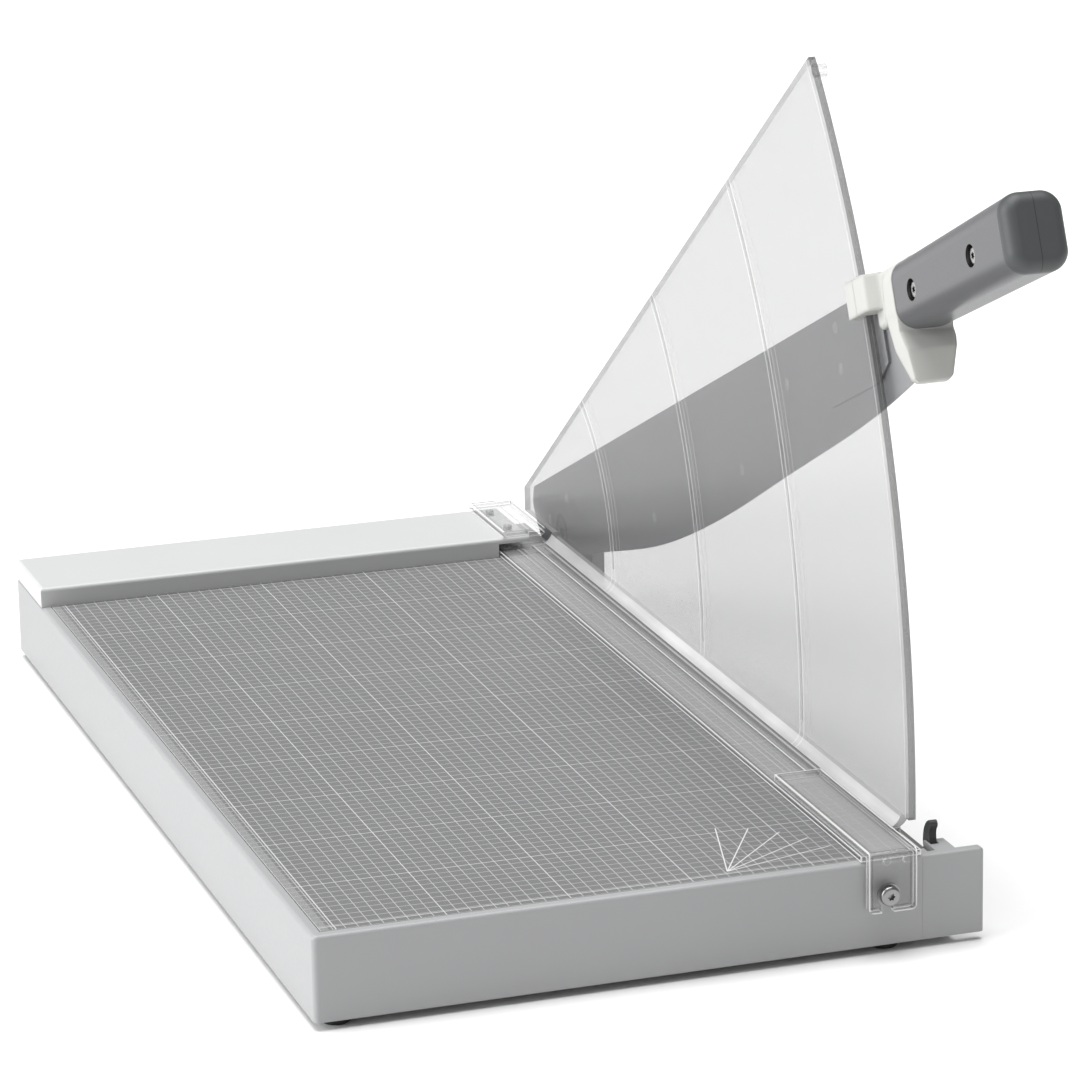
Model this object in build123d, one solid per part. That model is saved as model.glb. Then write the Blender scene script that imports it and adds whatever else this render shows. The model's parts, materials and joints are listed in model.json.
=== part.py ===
from build123d import *
import os

# Guillotine paper cutter.
# Working frame, before the final shift: X runs along the front edge to the right, Y runs from
# the front edge to the back, Z is up from the bottom edge of the frame. Millimetres.

# ---- driving dimensions ----
FRONT_SEAM = 248.6         # joint between the front wall and the end piece
FRAME_RIGHT = 252.3        # outer face of the right wall, behind the end piece
OVERALL_WIDTH = 275.0
FRAME_LENGTH = 510.0
BOARD_TOP = 35.0
BACKSTOP_FRONT = 457.0
BACKSTOP_TOP = 44.0
BACKSTOP_RIGHT = 237.6
WALL = 3.0                 # frame wall
END_PLATE = 4.2            # front plate of the end piece
LIP = 4.3                  # rim round the mat
EDGE_ROUND = 2.2
FOOT_HEIGHT = 3.5
FOOT_RADIUS = 6.0

MAT_THICK = 0.6
BOARD_THICK = 4.0
BOARD_RIGHT = 245.0

FIXED_BLADE_LEFT = 249.4
FIXED_BLADE_RIGHT = 252.6
FIXED_BLADE_DEPTH = 16.0

PIVOT_Y = 453.2
PIVOT_Z = 45.0
REST_ANGLE = 24.0          # arm above horizontal, as stored in the rest pose

BLADE_LEFT = 252.7         # flat inner face of the blade
BLADE_THICK = 2.0
CARRIER_THICK = 3.0
TANG_THICK = 1.0
BLADE_TOP = 27.8           # above the pivot, across the arm
BLADE_REAR = -38.0
BLADE_FRONT = 472.0

CHEEK_LEFT = 262.4         # bracket cheek that the pivot bolt clamps
CHEEK_RIGHT = 268.4

GUARD_LEFT = 248.4
GUARD_THICK = 3.0
GUARD_RADIUS = 439.2
GUARD_BOTTOM = 45.0
GUARD_SLANT = 36.1         # degrees, upper edge
GUARD_SLANT_OFFSET = 35.0  # upper edge above the pivot
GUARD_REAR = 496.5

CLAMP_LEFT = 224.2
CLAMP_RIGHT = 244.4        # top plate at the front
RAIL_RIGHT = 248.1         # lower bar, under the guard's foot
CLAMP_BOTTOM = BOARD_TOP + 0.3
CLAMP_LIFT = 3.0

HANDLE_WIDTH = 24.4
HANDLE_BOTTOM = 2.4        # above the pivot, across the arm, at the collar
HANDLE_TOP = 29.4
HANDLE_DROP = 2.0          # how much lower and higher the far end is
HANDLE_RISE = 1.2
HANDLE_ROUND = 8.0
HANDLE_START = 486.0       # along the arm from the pivot
HANDLE_END = 595.0
HANDLE_CENTRE_X = BLADE_LEFT + 1.8

LATCH_PIN_Y = 14.6
LATCH_PIN_Z = 27.0
LATCH_LEFT = 257.0
LATCH_WIDTH = 3.0

SLOT_RIGHT = 255.6         # right side of the blade slot behind the end plate
HOUSING_RIGHT = 264.0
HOUSING_BACK = 16.3
GAP = 0.3                  # between bodies that move past each other
RAIL_THICK = 2.2


# ---- helpers ----
def side_plane(x):
    """Sketch plane whose local x is Y and local y is Z, with its normal along +X."""
    return Plane(origin=(x, 0, 0), x_dir=(0, 1, 0), z_dir=(1, 0, 0))


def front_plane(y):
    """Sketch plane whose local x is X and local y is Z, with its normal along -Y."""
    return Plane(origin=(0, y, 0), x_dir=(1, 0, 0), z_dir=(0, -1, 0))


def block(x0, x1, y0, y1, z0, z1):
    """Box between two corners."""
    box = Box(x1 - x0, y1 - y0, z1 - z0)
    return Pos((x0 + x1) / 2, (y0 + y1) / 2, (z0 + z1) / 2) * box


def slab(outline, x0, x1):
    """Side-view outline given a thickness along X."""
    return extrude(side_plane(x0) * outline, x1 - x0)


def rod_x(x0, x1, y, z, radius):
    """Round bar along X."""
    return Pos((x0 + x1) / 2, y, z) * Rot(0, 90, 0) * Cylinder(radius, x1 - x0)


def rod_y(y0, y1, x, z, radius):
    """Round bar along Y."""
    return Pos(x, (y0 + y1) / 2, z) * Rot(90, 0, 0) * Cylinder(radius, y1 - y0)


def rod_z(z0, z1, x, y, radius):
    """Round bar along Z."""
    return Pos(x, y, (z0 + z1) / 2) * Cylinder(radius, z1 - z0)


def star_socket(depth, radius=1.5):
    """Six-lobed driver recess cutter, its mouth at the origin, going down -Z."""
    core = Cylinder(radius * 0.72, depth)
    for index in range(6):
        core += Rot(0, 0, 60 * index) * Pos(radius * 0.78, 0, 0) * Cylinder(radius * 0.26, depth)
    return Pos(0, 0, -depth / 2) * core


def pan_screw(shank_radius, shank_length, head_radius, head_height):
    """Pan-head screw: seat of the head at the origin, shank down -Z."""
    head = Pos(0, 0, head_height / 2) * Cylinder(head_radius, head_height)
    head = fillet(head.edges().group_by(Axis.Z)[-1], head_height * 0.45)
    shank = Pos(0, 0, -shank_length / 2) * Cylinder(shank_radius, shank_length)
    socket = Pos(0, 0, head_height) * star_socket(head_height * 0.6, head_radius * 0.36)
    return head + shank - socket


def flat_screw(shank_radius, shank_length, head_radius, head_height):
    """Countersunk screw: top of the head at the origin, shank down -Z."""
    head = Pos(0, 0, -head_height / 2) * Cone(shank_radius, head_radius, head_height)
    shank = Pos(0, 0, -shank_length / 2) * Cylinder(shank_radius, shank_length)
    return head + shank - star_socket(head_height * 0.7, head_radius * 0.45)


def flat_seat(shank_radius, head_radius, head_height, length):
    """Cutter for a countersunk screw with the same origin."""
    head = Pos(0, 0, -head_height / 2) * Cone(shank_radius, head_radius, head_height)
    return head + Pos(0, 0, -length / 2) * Cylinder(shank_radius, length)


def on_arm(shape):
    """Move a shape drawn with the arm level (front towards -Y) to the rest angle."""
    return Pos(0, PIVOT_Y, PIVOT_Z) * Rot(-REST_ANGLE, 0, 0) * shape


# ---- base ----
LEDGE = BOARD_TOP - MAT_THICK - BOARD_THICK
LEDGE_BOTTOM = LEDGE - 3.0
LEDGE_EDGE = 11.0
FIXED_SCREW_YS = [40.0 + 75.0 * index for index in range(6)]
FIXED_SCREW_Z = BOARD_TOP - 9.0
BRACKET_SCREWS = [(472.0, 8.0), (472.0, 18.0), (497.0, 8.0), (497.0, 18.0)]
END_SCREW_ZS = (6.0, 15.0)
END_SCREW_Y = 10.0
END_SCREW_SEAT = 261.0
FEET = {
    "foot_front_left": (11.0, 9.5),
    "foot_front_right": (235.6, 9.5),
    "foot_rear_left": (11.0, FRAME_LENGTH - 9.5),
    "foot_rear_right": (235.6, FRAME_LENGTH - 9.5),
}
GUIDE_SCREW_X = 232.2
GUIDE_SCREW_Z = 22.6
GUIDE_SEAT_Y = -5.4        # back face of the guide screw's head
GUIDE_PIN_YS = (470.0, 498.0)
GUIDE_PIN_X = 231.0
GUIDE_PIN_RADIUS = 2.0
BOTTOM_SCREWS = [(x, y) for x in (7.4, 241.0) for y in (30.0, 255.0, 480.0)]
BACKSTOP_SCREWS = [(x, FRAME_LENGTH - 5.0) for x in (25.0, 115.0, 205.0)]
BACKSTOP_SEAT = BOARD_TOP - 6.0


def frame_shell():
    """Outer block with its corner cut away for the end piece and its edges rounded."""
    body = block(0, FRAME_RIGHT, 0, FRAME_LENGTH, 0, BOARD_TOP)
    body -= block(FRONT_SEAM, FRAME_RIGHT + 1, -1, END_PLATE, -1, BOARD_TOP + 1)
    body = fillet(body.edges().filter_by(Axis.Z).sort_by(Axis.X)[:2], EDGE_ROUND)
    top = body.edges().group_by(Axis.Z)[-1]
    left = top.filter_by(lambda e: e.center().X < 0.1)
    front = top.filter_by(lambda e: e.center().Y < 0.1)
    corner = top.filter_by(lambda e: e.center().X + e.center().Y < 4.0)
    return fillet(ShapeList(set(left + front + corner)), EDGE_ROUND - 0.4)


def base_frame():
    """Painted tray: four walls, an inner ledge under the board, open below."""
    body = frame_shell()
    body -= block(WALL, 245.5, WALL, FRAME_LENGTH - WALL, -1, LEDGE_BOTTOM)
    body -= block(LEDGE_EDGE, 237.0, LEDGE_EDGE, BACKSTOP_FRONT - 7, 0, LEDGE + 1)
    body -= block(LIP, BOARD_RIGHT + 0.4, LIP, BACKSTOP_FRONT + 1.0, LEDGE, BOARD_TOP + 1)
    body -= block(BOARD_RIGHT, FIXED_BLADE_LEFT, LIP, BACKSTOP_FRONT - 4, LEDGE + 1.5, BOARD_TOP + 1)
    body -= block(FIXED_BLADE_LEFT, FRAME_RIGHT + 1, 8, PIVOT_Y + 14, BOARD_TOP - FIXED_BLADE_DEPTH,
                  BOARD_TOP + 1)
    body -= block(LEDGE_EDGE, 224.0, BACKSTOP_FRONT + 12, FRAME_LENGTH - 12, 0, BOARD_TOP + 1)
    for post in frame_posts():
        body += post
    return body - frame_holes()


def frame_posts():
    """Posts that hang from the ledge and take the bottom screws and the feet."""
    places = BOTTOM_SCREWS + list(FEET.values())
    return [rod_z(1.8, LEDGE_BOTTOM + 0.5, x, y, 4.0) for x, y in places]


def frame_holes():
    """Cutters for every screw that enters the frame."""
    holes = [rod_y(-1, WALL + 12, GUIDE_SCREW_X, GUIDE_SCREW_Z, 1.6)]
    holes += [rod_x(FIXED_BLADE_LEFT - 10, FRAME_RIGHT, y, FIXED_SCREW_Z, 1.6) for y in FIXED_SCREW_YS]
    holes += [rod_x(FRAME_RIGHT - 16, FRAME_RIGHT + 1, y, z, 2.0) for y, z in BRACKET_SCREWS]
    holes += [rod_x(FRAME_RIGHT - 16, FRAME_RIGHT + 1, END_SCREW_Y, z, 1.25) for z in END_SCREW_ZS]
    holes += [rod_z(0, BOARD_TOP + 1, x, y, 1.6) for x, y in BACKSTOP_SCREWS]
    holes += [rod_z(0, BACKSTOP_SEAT, x, y, 3.2) for x, y in BACKSTOP_SCREWS]
    holes += [rod_z(0, 14, x, y, 1.5) for x, y in BOTTOM_SCREWS]
    holes += [rod_z(0, 14, x, y, 1.2) for x, y in FEET.values()]
    return holes


def board():
    """Flat plate that carries the mat and rests on the ledge."""
    return block(LIP + 0.2, BOARD_RIGHT, LIP + 0.2, BACKSTOP_FRONT + 0.6, LEDGE, LEDGE + BOARD_THICK)


def printed_mat():
    """Thin printed sheet on the board, a little short of the rim."""
    low = BOARD_TOP - MAT_THICK
    return block(LIP + 0.5, BOARD_RIGHT, LIP + 0.5, BACKSTOP_FRONT + 0.3, low, BOARD_TOP)


def backstop():
    """Rail across the rear with a notch that the clamp rail passes through."""
    body = block(0, BACKSTOP_RIGHT, BACKSTOP_FRONT, FRAME_LENGTH, BOARD_TOP, BACKSTOP_TOP)
    rims = body.edges().group_by(Axis.Z)[-1]
    body = fillet(rims.filter_by(lambda e: e.center().X < BACKSTOP_RIGHT - 1), EDGE_ROUND - 0.4)
    notch_top = CLAMP_BOTTOM + RAIL_THICK + CLAMP_LIFT + 0.8
    body -= block(CLAMP_LEFT - 1.8, BACKSTOP_RIGHT + 1, BACKSTOP_FRONT - 1, FRAME_LENGTH - 3,
                  BOARD_TOP - 1, notch_top)
    for y in GUIDE_PIN_YS:
        body -= rod_z(BOARD_TOP, BACKSTOP_TOP + 1, GUIDE_PIN_X, y, GUIDE_PIN_RADIUS + 0.08)
    for x, y in BACKSTOP_SCREWS:
        body -= rod_z(BOARD_TOP - 1, BACKSTOP_TOP - 2, x, y, 1.5)
    return body


def bottom_plate():
    """Thin sheet that closes the frame from below."""
    plate = block(WALL + 0.4, 245.1, WALL + 0.4, FRAME_LENGTH - WALL - 0.4, 0.6, 1.8)
    for x, y in BOTTOM_SCREWS:
        plate -= rod_z(0, 3, x, y, 1.7)
    for x, y in FEET.values():
        plate -= rod_z(0, 3, x, y, 1.3)
    return plate


def bottom_screws():
    """Short pan-head screws, heads below the bottom plate."""
    screw = Rot(180, 0, 0) * pan_screw(1.4, 12, 2.8, 1.8)
    return [Pos(x, y, 0.6) * screw for x, y in BOTTOM_SCREWS]


def foot(x, y):
    """Rubber disc with a recess for its screw."""
    body = rod_z(-FOOT_HEIGHT, 0.6, x, y, FOOT_RADIUS)
    body = fillet(body.edges().group_by(Axis.Z)[0], 1.0)
    body -= rod_z(-FOOT_HEIGHT - 1, -1.2, x, y, 2.8)
    return body - rod_z(-2, 2, x, y, 1.3)


def foot_screws():
    """Screws recessed in the feet."""
    screw = Rot(180, 0, 0) * pan_screw(1.15, 12, 2.4, 1.6)
    return [Pos(x, y, -1.2) * screw for x, y in FEET.values()]


def backstop_screws():
    """Screws up through the frame into the backstop."""
    screw = Rot(180, 0, 0) * pan_screw(1.5, 12, 2.8, 1.8)
    return [Pos(x, y, BACKSTOP_SEAT) * screw for x, y in BACKSTOP_SCREWS]


def fixed_blade():
    """Hardened strip along the cut line, screwed into the frame from the side."""
    strip = block(FIXED_BLADE_LEFT, FIXED_BLADE_RIGHT, 8.3, PIVOT_Y + 13.7,
                  BOARD_TOP - FIXED_BLADE_DEPTH, BOARD_TOP + 0.1)
    seat = Rot(0, 90, 0) * flat_seat(1.6, 3.2, 1.6, 6)
    for y in FIXED_SCREW_YS:
        strip -= Pos(FIXED_BLADE_RIGHT, y, FIXED_SCREW_Z) * seat
    return strip


def fixed_blade_screws():
    """Countersunk screws, flush with the strip's outer face."""
    screw = Rot(0, 90, 0) * flat_screw(1.55, 10, 3.15, 1.6)
    return [Pos(FIXED_BLADE_RIGHT, y, FIXED_SCREW_Z) * screw for y in FIXED_SCREW_YS]


def front_end_piece():
    """Plain end plate in line with the front wall, with the latch housing behind it."""
    plate = block(FRONT_SEAM, OVERALL_WIDTH, 0, END_PLATE, 0, BOARD_TOP)
    outer = plate.edges().filter_by(lambda e: e.center().X > OVERALL_WIDTH - 1)
    plate = fillet(outer.filter_by(Axis.Z) + outer.filter_by(Axis.Y).group_by(Axis.Z)[-1], 2.0)
    top_front = plate.edges().filter_by(Axis.X).group_by(Axis.Z)[-1].sort_by(Axis.Y)[:1]
    body = fillet(top_front, 1.2)
    body += block(SLOT_RIGHT, HOUSING_RIGHT, END_PLATE, HOUSING_BACK, 0, BOARD_TOP)
    body += block(FRAME_RIGHT, HOUSING_RIGHT, END_PLATE, HOUSING_BACK, 0, 18.7)
    body -= block(LATCH_LEFT - GAP, LATCH_LEFT + LATCH_WIDTH + GAP, 11.0, HOUSING_BACK + 1, 22.5,
                  BOARD_TOP + 1)
    body -= rod_x(SLOT_RIGHT - 1, HOUSING_RIGHT + 1, LATCH_PIN_Y, LATCH_PIN_Z, 1.5)
    for z in END_SCREW_ZS:
        body -= rod_x(FRAME_RIGHT - 1, HOUSING_RIGHT + 1, END_SCREW_Y, z, 1.25)
        body -= rod_x(END_SCREW_SEAT, HOUSING_RIGHT + 1, END_SCREW_Y, z, 2.6)
    return body


def end_piece_screws():
    """Long screws along X that hold the end piece to the frame."""
    screw = Rot(0, 90, 0) * pan_screw(1.2, 20, 2.4, 1.6)
    return [Pos(END_SCREW_SEAT, END_SCREW_Y, z) * screw for z in END_SCREW_ZS]


def pivot_bracket():
    """Steel block at the rear right that carries the pivot bolt."""
    bar = block(FRAME_RIGHT, CHEEK_RIGHT, 467.4, 505.0, 2, 23)
    outline = make_face(Polyline((437.0, 2), (505.0, 2), (505.0, 30), (PIVOT_Y + 11.4, PIVOT_Z + 11.2),
                                 (PIVOT_Y, PIVOT_Z), (437.2, PIVOT_Z), close=True))
    body = bar + slab(outline, CHEEK_LEFT, CHEEK_RIGHT)
    body += rod_x(CHEEK_LEFT, CHEEK_RIGHT, PIVOT_Y, PIVOT_Z, 16)
    body -= rod_x(CHEEK_LEFT - 1, CHEEK_RIGHT + 1, PIVOT_Y, PIVOT_Z, 5.0)
    for y, z in BRACKET_SCREWS:
        body -= rod_x(FRAME_RIGHT - 1, CHEEK_RIGHT + 1, y, z, 2.05)
        body -= rod_x(CHEEK_RIGHT - 3.5, CHEEK_RIGHT + 1, y, z, 4.2)
    return body


def bracket_screws():
    """Four cap screws along X that hold the bracket to the frame."""
    screw = Rot(0, 90, 0) * pan_screw(1.95, 24, 3.8, 3.0)
    return [Pos(CHEEK_RIGHT - 3.5, y, z) * screw for y, z in BRACKET_SCREWS]


def pivot_bolt():
    """Shoulder bolt with a flush countersunk head on the blade's inner face."""
    head = Pos(BLADE_LEFT + 0.2, 0, 0) * Rot(0, -90, 0) * Pos(0, 0, -1.5) * Cone(6.0, 8.5, 3.0)
    shoulder = rod_x(BLADE_LEFT + 1.0, CHEEK_LEFT - 0.1, 0, 0, 6.0)
    shank = rod_x(CHEEK_LEFT - 0.5, OVERALL_WIDTH - 0.2, 0, 0, 4.97)
    hexagon = Pos(BLADE_LEFT + 1.0, 0, 0) * Rot(0, 90, 0) * extrude(RegularPolygon(2.9, 6), 4, both=True)
    return Pos(0, PIVOT_Y, PIVOT_Z) * (head + shoulder + shank - hexagon)


def spring_washer():
    """Dished washer that sets the arm's friction."""
    height = 1.8
    turn = Rot(0, 90, 0)
    ring = Pos(CHEEK_RIGHT + height / 2, PIVOT_Y, PIVOT_Z) * turn * Cone(9.0, 6.6, height)
    hollow = Pos(CHEEK_RIGHT + height / 4, PIVOT_Y, PIVOT_Z) * turn * Cone(7.6, 5.4, height / 2)
    return ring - hollow - rod_x(CHEEK_RIGHT - 1, CHEEK_RIGHT + 3, PIVOT_Y, PIVOT_Z, 5.05)


def pivot_nut():
    """Self-locking hexagon nut."""
    left = CHEEK_RIGHT + 1.8
    nut = Pos(left, PIVOT_Y, PIVOT_Z) * Rot(0, 90, 0) * extrude(RegularPolygon(8.6, 6), 3.6)
    rim = rod_x(left + 3.6, left + 4.4, PIVOT_Y, PIVOT_Z, 6.6)
    return nut + rim - rod_x(left - 1, left + 6, PIVOT_Y, PIVOT_Z, 5.0)


def guide_screw():
    """Pan-head screw in the front wall that guides the clamp's flap."""
    screw = Rot(90, 0, 0) * pan_screw(1.5, 12, 4.1, 2.6)
    return Pos(GUIDE_SCREW_X, GUIDE_SEAT_Y, GUIDE_SCREW_Z) * screw


def guide_washer():
    """Washer under the guide screw's head."""
    ring = rod_y(GUIDE_SEAT_Y, GUIDE_SEAT_Y + 0.7, GUIDE_SCREW_X, GUIDE_SCREW_Z, 4.8)
    return ring - rod_y(-7, 0, GUIDE_SCREW_X, GUIDE_SCREW_Z, 1.52)


def guide_spacer():
    """Short sleeve that keeps the screw's head clear of the flap."""
    sleeve = rod_y(GUIDE_SEAT_Y + 0.7, 0, GUIDE_SCREW_X, GUIDE_SCREW_Z, 2.1)
    return sleeve - rod_y(-7, 1, GUIDE_SCREW_X, GUIDE_SCREW_Z, 1.52)


def latch_pin():
    """Pin through the latch housing."""
    return rod_x(SLOT_RIGHT + 0.2, HOUSING_RIGHT - 0.2, LATCH_PIN_Y, LATCH_PIN_Z, 1.48)


def latch_lever():
    """Claw that turns on the pin, its tip hooked towards the front."""
    back = Spline((17.6, 28.0), (20.0, 35.0), (18.6, 40.0), (14.6, 43.8))
    tip = ThreePointArc((14.6, 43.8), (12.4, 43.4), (12.3, 41.6))
    inner = Spline((12.3, 41.6), (13.6, 38.6), (13.0, 35.0), (11.7, 28.0))
    low = ThreePointArc((11.7, 28.0), (14.5, 24.0), (17.6, 28.0))
    claw = slab(make_face(back + tip + inner + low), LATCH_LEFT, LATCH_LEFT + LATCH_WIDTH)
    return claw - rod_x(LATCH_LEFT - 1, LATCH_LEFT + LATCH_WIDTH + 1, LATCH_PIN_Y, LATCH_PIN_Z, 1.54)


# ---- clamp and guard ----
HEAD_TOP = 40.4
HEAD_BACK = 98.0
FLAP_FRONT = -4.4
FLAP_BACK = -1.2
FLAP_BOTTOM = 15.0
PLATEAU_LEFT = 238.4
PLATEAU_TOP = HEAD_TOP - 0.4
FLARE_LEFT = 244.5
FLARE_FRONT = 21.5
TAB_BOTTOM = BACKSTOP_TOP + 0.1
TAB_TOP = 47.2
TAB_BACK = FRAME_LENGTH + 1.2
LOBE_RIGHT = 246.2


def clamp_rail():
    """Long bar on the board: flat left half, two ribs and a raised band on the right."""
    low = CLAMP_BOTTOM + RAIL_THICK
    body = block(CLAMP_LEFT - 1.4, RAIL_RIGHT, 0.6, 468, CLAMP_BOTTOM, low)
    body += block(CLAMP_LEFT - 1.4, BACKSTOP_RIGHT, 468, 504, CLAMP_BOTTOM, low)
    for x in (230.8, 233.4):
        body += block(x, x + 0.9, HEAD_BACK, BACKSTOP_FRONT - 1.5, low, low + 0.9)
    body += block(PLATEAU_LEFT, RAIL_RIGHT, HEAD_BACK, BACKSTOP_FRONT - 1.5, low, PLATEAU_TOP)
    body += block(CLAMP_RIGHT, RAIL_RIGHT, FLARE_FRONT, HEAD_BACK, low, PLATEAU_TOP)
    for y in GUIDE_PIN_YS:
        body -= rod_z(CLAMP_BOTTOM - 1, CLAMP_BOTTOM + 4, GUIDE_PIN_X, y, GUIDE_PIN_RADIUS - 0.4)
    return body


def clamp_head():
    """Wide top plate at the front, bent down into the slotted flap."""
    low = CLAMP_BOTTOM + RAIL_THICK
    top = block(CLAMP_LEFT, CLAMP_RIGHT, FLAP_FRONT, HEAD_BACK, low, HEAD_TOP)
    flap = block(CLAMP_LEFT, CLAMP_RIGHT, FLAP_FRONT, FLAP_BACK, FLAP_BOTTOM, low)
    body = top + flap
    body = fillet(body.edges().filter_by(Axis.X).filter_by(
        lambda e: e.center().Y < FLAP_FRONT + 0.1 and e.center().Z > HEAD_TOP - 0.1), 2.2)
    body = fillet(body.edges().filter_by(Axis.Y).filter_by(
        lambda e: e.center().Z < FLAP_BOTTOM + 0.1), 2.4)
    half = 2.5
    slot = rod_y(FLAP_FRONT - 1, FLAP_BACK + 1, GUIDE_SCREW_X, GUIDE_SCREW_Z + 0.1, half)
    slot += block(GUIDE_SCREW_X - half, GUIDE_SCREW_X + half, FLAP_FRONT - 1, FLAP_BACK + 1,
                  FLAP_BOTTOM - 1, GUIDE_SCREW_Z + 0.1)
    return body - slot


def clamp_head_rivets():
    """Two moulded rivets at the top of the flap."""
    rivets = []
    for x in (231.4, 239.6):
        rivet = rod_y(FLAP_FRONT - 1.1, FLAP_FRONT, x, 36.4, 1.7)
        rivets.append(fillet(rivet.edges().group_by(Axis.Y)[0], 0.7))
    return rivets


def clamp_rear_tab():
    """Block that lies on the backstop, with a rounded lobe towards the guard."""
    body = block(CLAMP_LEFT + 0.6, BACKSTOP_RIGHT - 0.2, BACKSTOP_FRONT, TAB_BACK, TAB_BOTTOM, TAB_TOP)
    lobe = block(BACKSTOP_RIGHT - 1, LOBE_RIGHT, BACKSTOP_FRONT - 2.0, TAB_BACK, TAB_BOTTOM,
                 TAB_TOP - 0.7)
    front_right = lobe.edges().filter_by(Axis.Z).sort_by(lambda e: e.center().X - e.center().Y)[-1]
    body += fillet(front_right, 5.5)
    for y in GUIDE_PIN_YS:
        body -= rod_z(TAB_BOTTOM - 1, TAB_TOP - 0.8, GUIDE_PIN_X, y, GUIDE_PIN_RADIUS)
    return body


def clamp_guide_pins():
    """Pins that tie the tab to the rail and slide in the backstop."""
    pins = []
    for y in GUIDE_PIN_YS:
        pin = rod_z(CLAMP_BOTTOM + RAIL_THICK, TAB_TOP - 0.8, GUIDE_PIN_X, y, GUIDE_PIN_RADIUS)
        pin += rod_z(CLAMP_BOTTOM, CLAMP_BOTTOM + RAIL_THICK, GUIDE_PIN_X, y, GUIDE_PIN_RADIUS - 0.4)
        pins.append(pin)
    return pins


def guard_sector():
    """Side-view outline of the sheet: arc round the pivot, slanted top, upright rear edge."""
    disc = Pos(PIVOT_Y, PIVOT_Z) * Circle(GUARD_RADIUS)
    window = Polyline((GUARD_REAR, GUARD_BOTTOM), (-30, GUARD_BOTTOM), (-30, 420), (GUARD_REAR, 420),
                      close=True)
    above = Pos(PIVOT_Y, PIVOT_Z) * Rot(0, 0, -GUARD_SLANT) * Pos(0, GUARD_SLANT_OFFSET + 400) * (
        Rectangle(1400, 800))
    return (disc & make_face(window)) - above


def guard_flare():
    """Foot of the sheet, curved from upright to the clamp rail on the paper side."""
    crease = (GUARD_LEFT, GUARD_BOTTOM + 1.6)
    heel = (FLARE_LEFT, HEAD_TOP + 0.1)
    toe = (RAIL_RIGHT - 0.6, PLATEAU_TOP)
    corner = (GUARD_LEFT + GUARD_THICK, GUARD_BOTTOM)
    section = make_face(ThreePointArc(crease, (247.2, 42.9), heel) + Line(heel, toe)
                        + ThreePointArc(toe, (250.2, 42.0), corner) + Line(corner, crease))
    rear = BACKSTOP_FRONT - 2.5
    return extrude(front_plane(rear) * section, rear - FLARE_FRONT)


def guard():
    """Clear sector with concentric score lines on its outer face and a flared foot."""
    sheet = slab(guard_sector(), GUARD_LEFT, GUARD_LEFT + GUARD_THICK)
    for radius in (86.9, 205.3, 324.2):
        ring = rod_x(GUARD_LEFT - 1, GUARD_LEFT + 0.25, PIVOT_Y, PIVOT_Z, radius + 0.6)
        ring -= rod_x(GUARD_LEFT - 2, GUARD_LEFT + 1, PIVOT_Y, PIVOT_Z, radius - 0.6)
        sheet -= ring & block(GUARD_LEFT - 2, GUARD_LEFT + 1, -40, PIVOT_Y, PIVOT_Z + 6, 420)
    return sheet + guard_flare()


def guard_stop():
    """Stop nub at the tip of the guard, on the blade's side."""
    place = Pos(0, PIVOT_Y, PIVOT_Z) * Rot(-40.2, 0, 0) * Pos(0, -434.0, 0)
    return place * rod_x(GUARD_LEFT + GUARD_THICK, GUARD_LEFT + GUARD_THICK + 5.0, 0, 0, 2.8)


# ---- blade arm, drawn level with the pivot at Y = 0, Z = 0 and the front towards -Y ----
BLADE_RIVETS = ((-15.0, 9.0), (15.0, 14.0), (138.0, -15.0), (261.0, -14.4), (330.0, 10.0))
TANG_RIVETS = ((396.0, 20.6), (395.4, 4.0))
HANDLE_SCREW_S = (504.0, 565.0)
HANDLE_SCREW_H = 14.6
HANDLE_SEAT = 4.2          # seat of the screw heads below the tube's left face


def arm_slab(outline, x0, x1):
    """Outline in (distance along the arm, height) given a thickness along X."""
    flipped = Plane(origin=(x1, 0, 0), x_dir=(0, -1, 0), z_dir=(-1, 0, 0)) * outline
    return extrude(flipped, x1 - x0)


EDGE_CURVE = ((0, -14), (75, -20.8), (129, -27.3), (188, -30), (262, -28.6), (312, -26), (406, -21.6),
              (BLADE_FRONT, -14.5))


def blade_outline(edge_raise):
    """Straight back, curved cutting edge, rounded tail behind the pivot."""
    edge = Spline([(s, h + edge_raise) for s, h in EDGE_CURVE])
    start = edge @ 0
    end = edge @ 1
    tail = ThreePointArc((start.X, start.Y), (-27, -4 + edge_raise / 2), (BLADE_REAR, BLADE_TOP - 6))
    sides = Polyline((BLADE_REAR, BLADE_TOP - 6), (BLADE_REAR + 5, BLADE_TOP), (456, BLADE_TOP),
                     (BLADE_FRONT, 8), (end.X, end.Y))
    return make_face(edge + tail + sides)


def blade():
    """Ground steel blade: full outline on the flat side, bevelled on the outer side."""
    flat = arm_slab(blade_outline(0), BLADE_LEFT, BLADE_LEFT + 0.5)
    land = arm_slab(blade_outline(2.2), BLADE_LEFT + 0.5, BLADE_LEFT + 1.2)
    back = arm_slab(blade_outline(4.4), BLADE_LEFT + 1.2, BLADE_LEFT + BLADE_THICK)
    body = flat + land + back
    body -= rod_x(BLADE_LEFT - 1, BLADE_LEFT + 4, 0, 0, 9.0)
    for s, h in BLADE_RIVETS + TANG_RIVETS:
        body -= rod_x(BLADE_LEFT - 1, BLADE_LEFT + 4, -s, h, 2.5)
    return on_arm(body)


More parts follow.
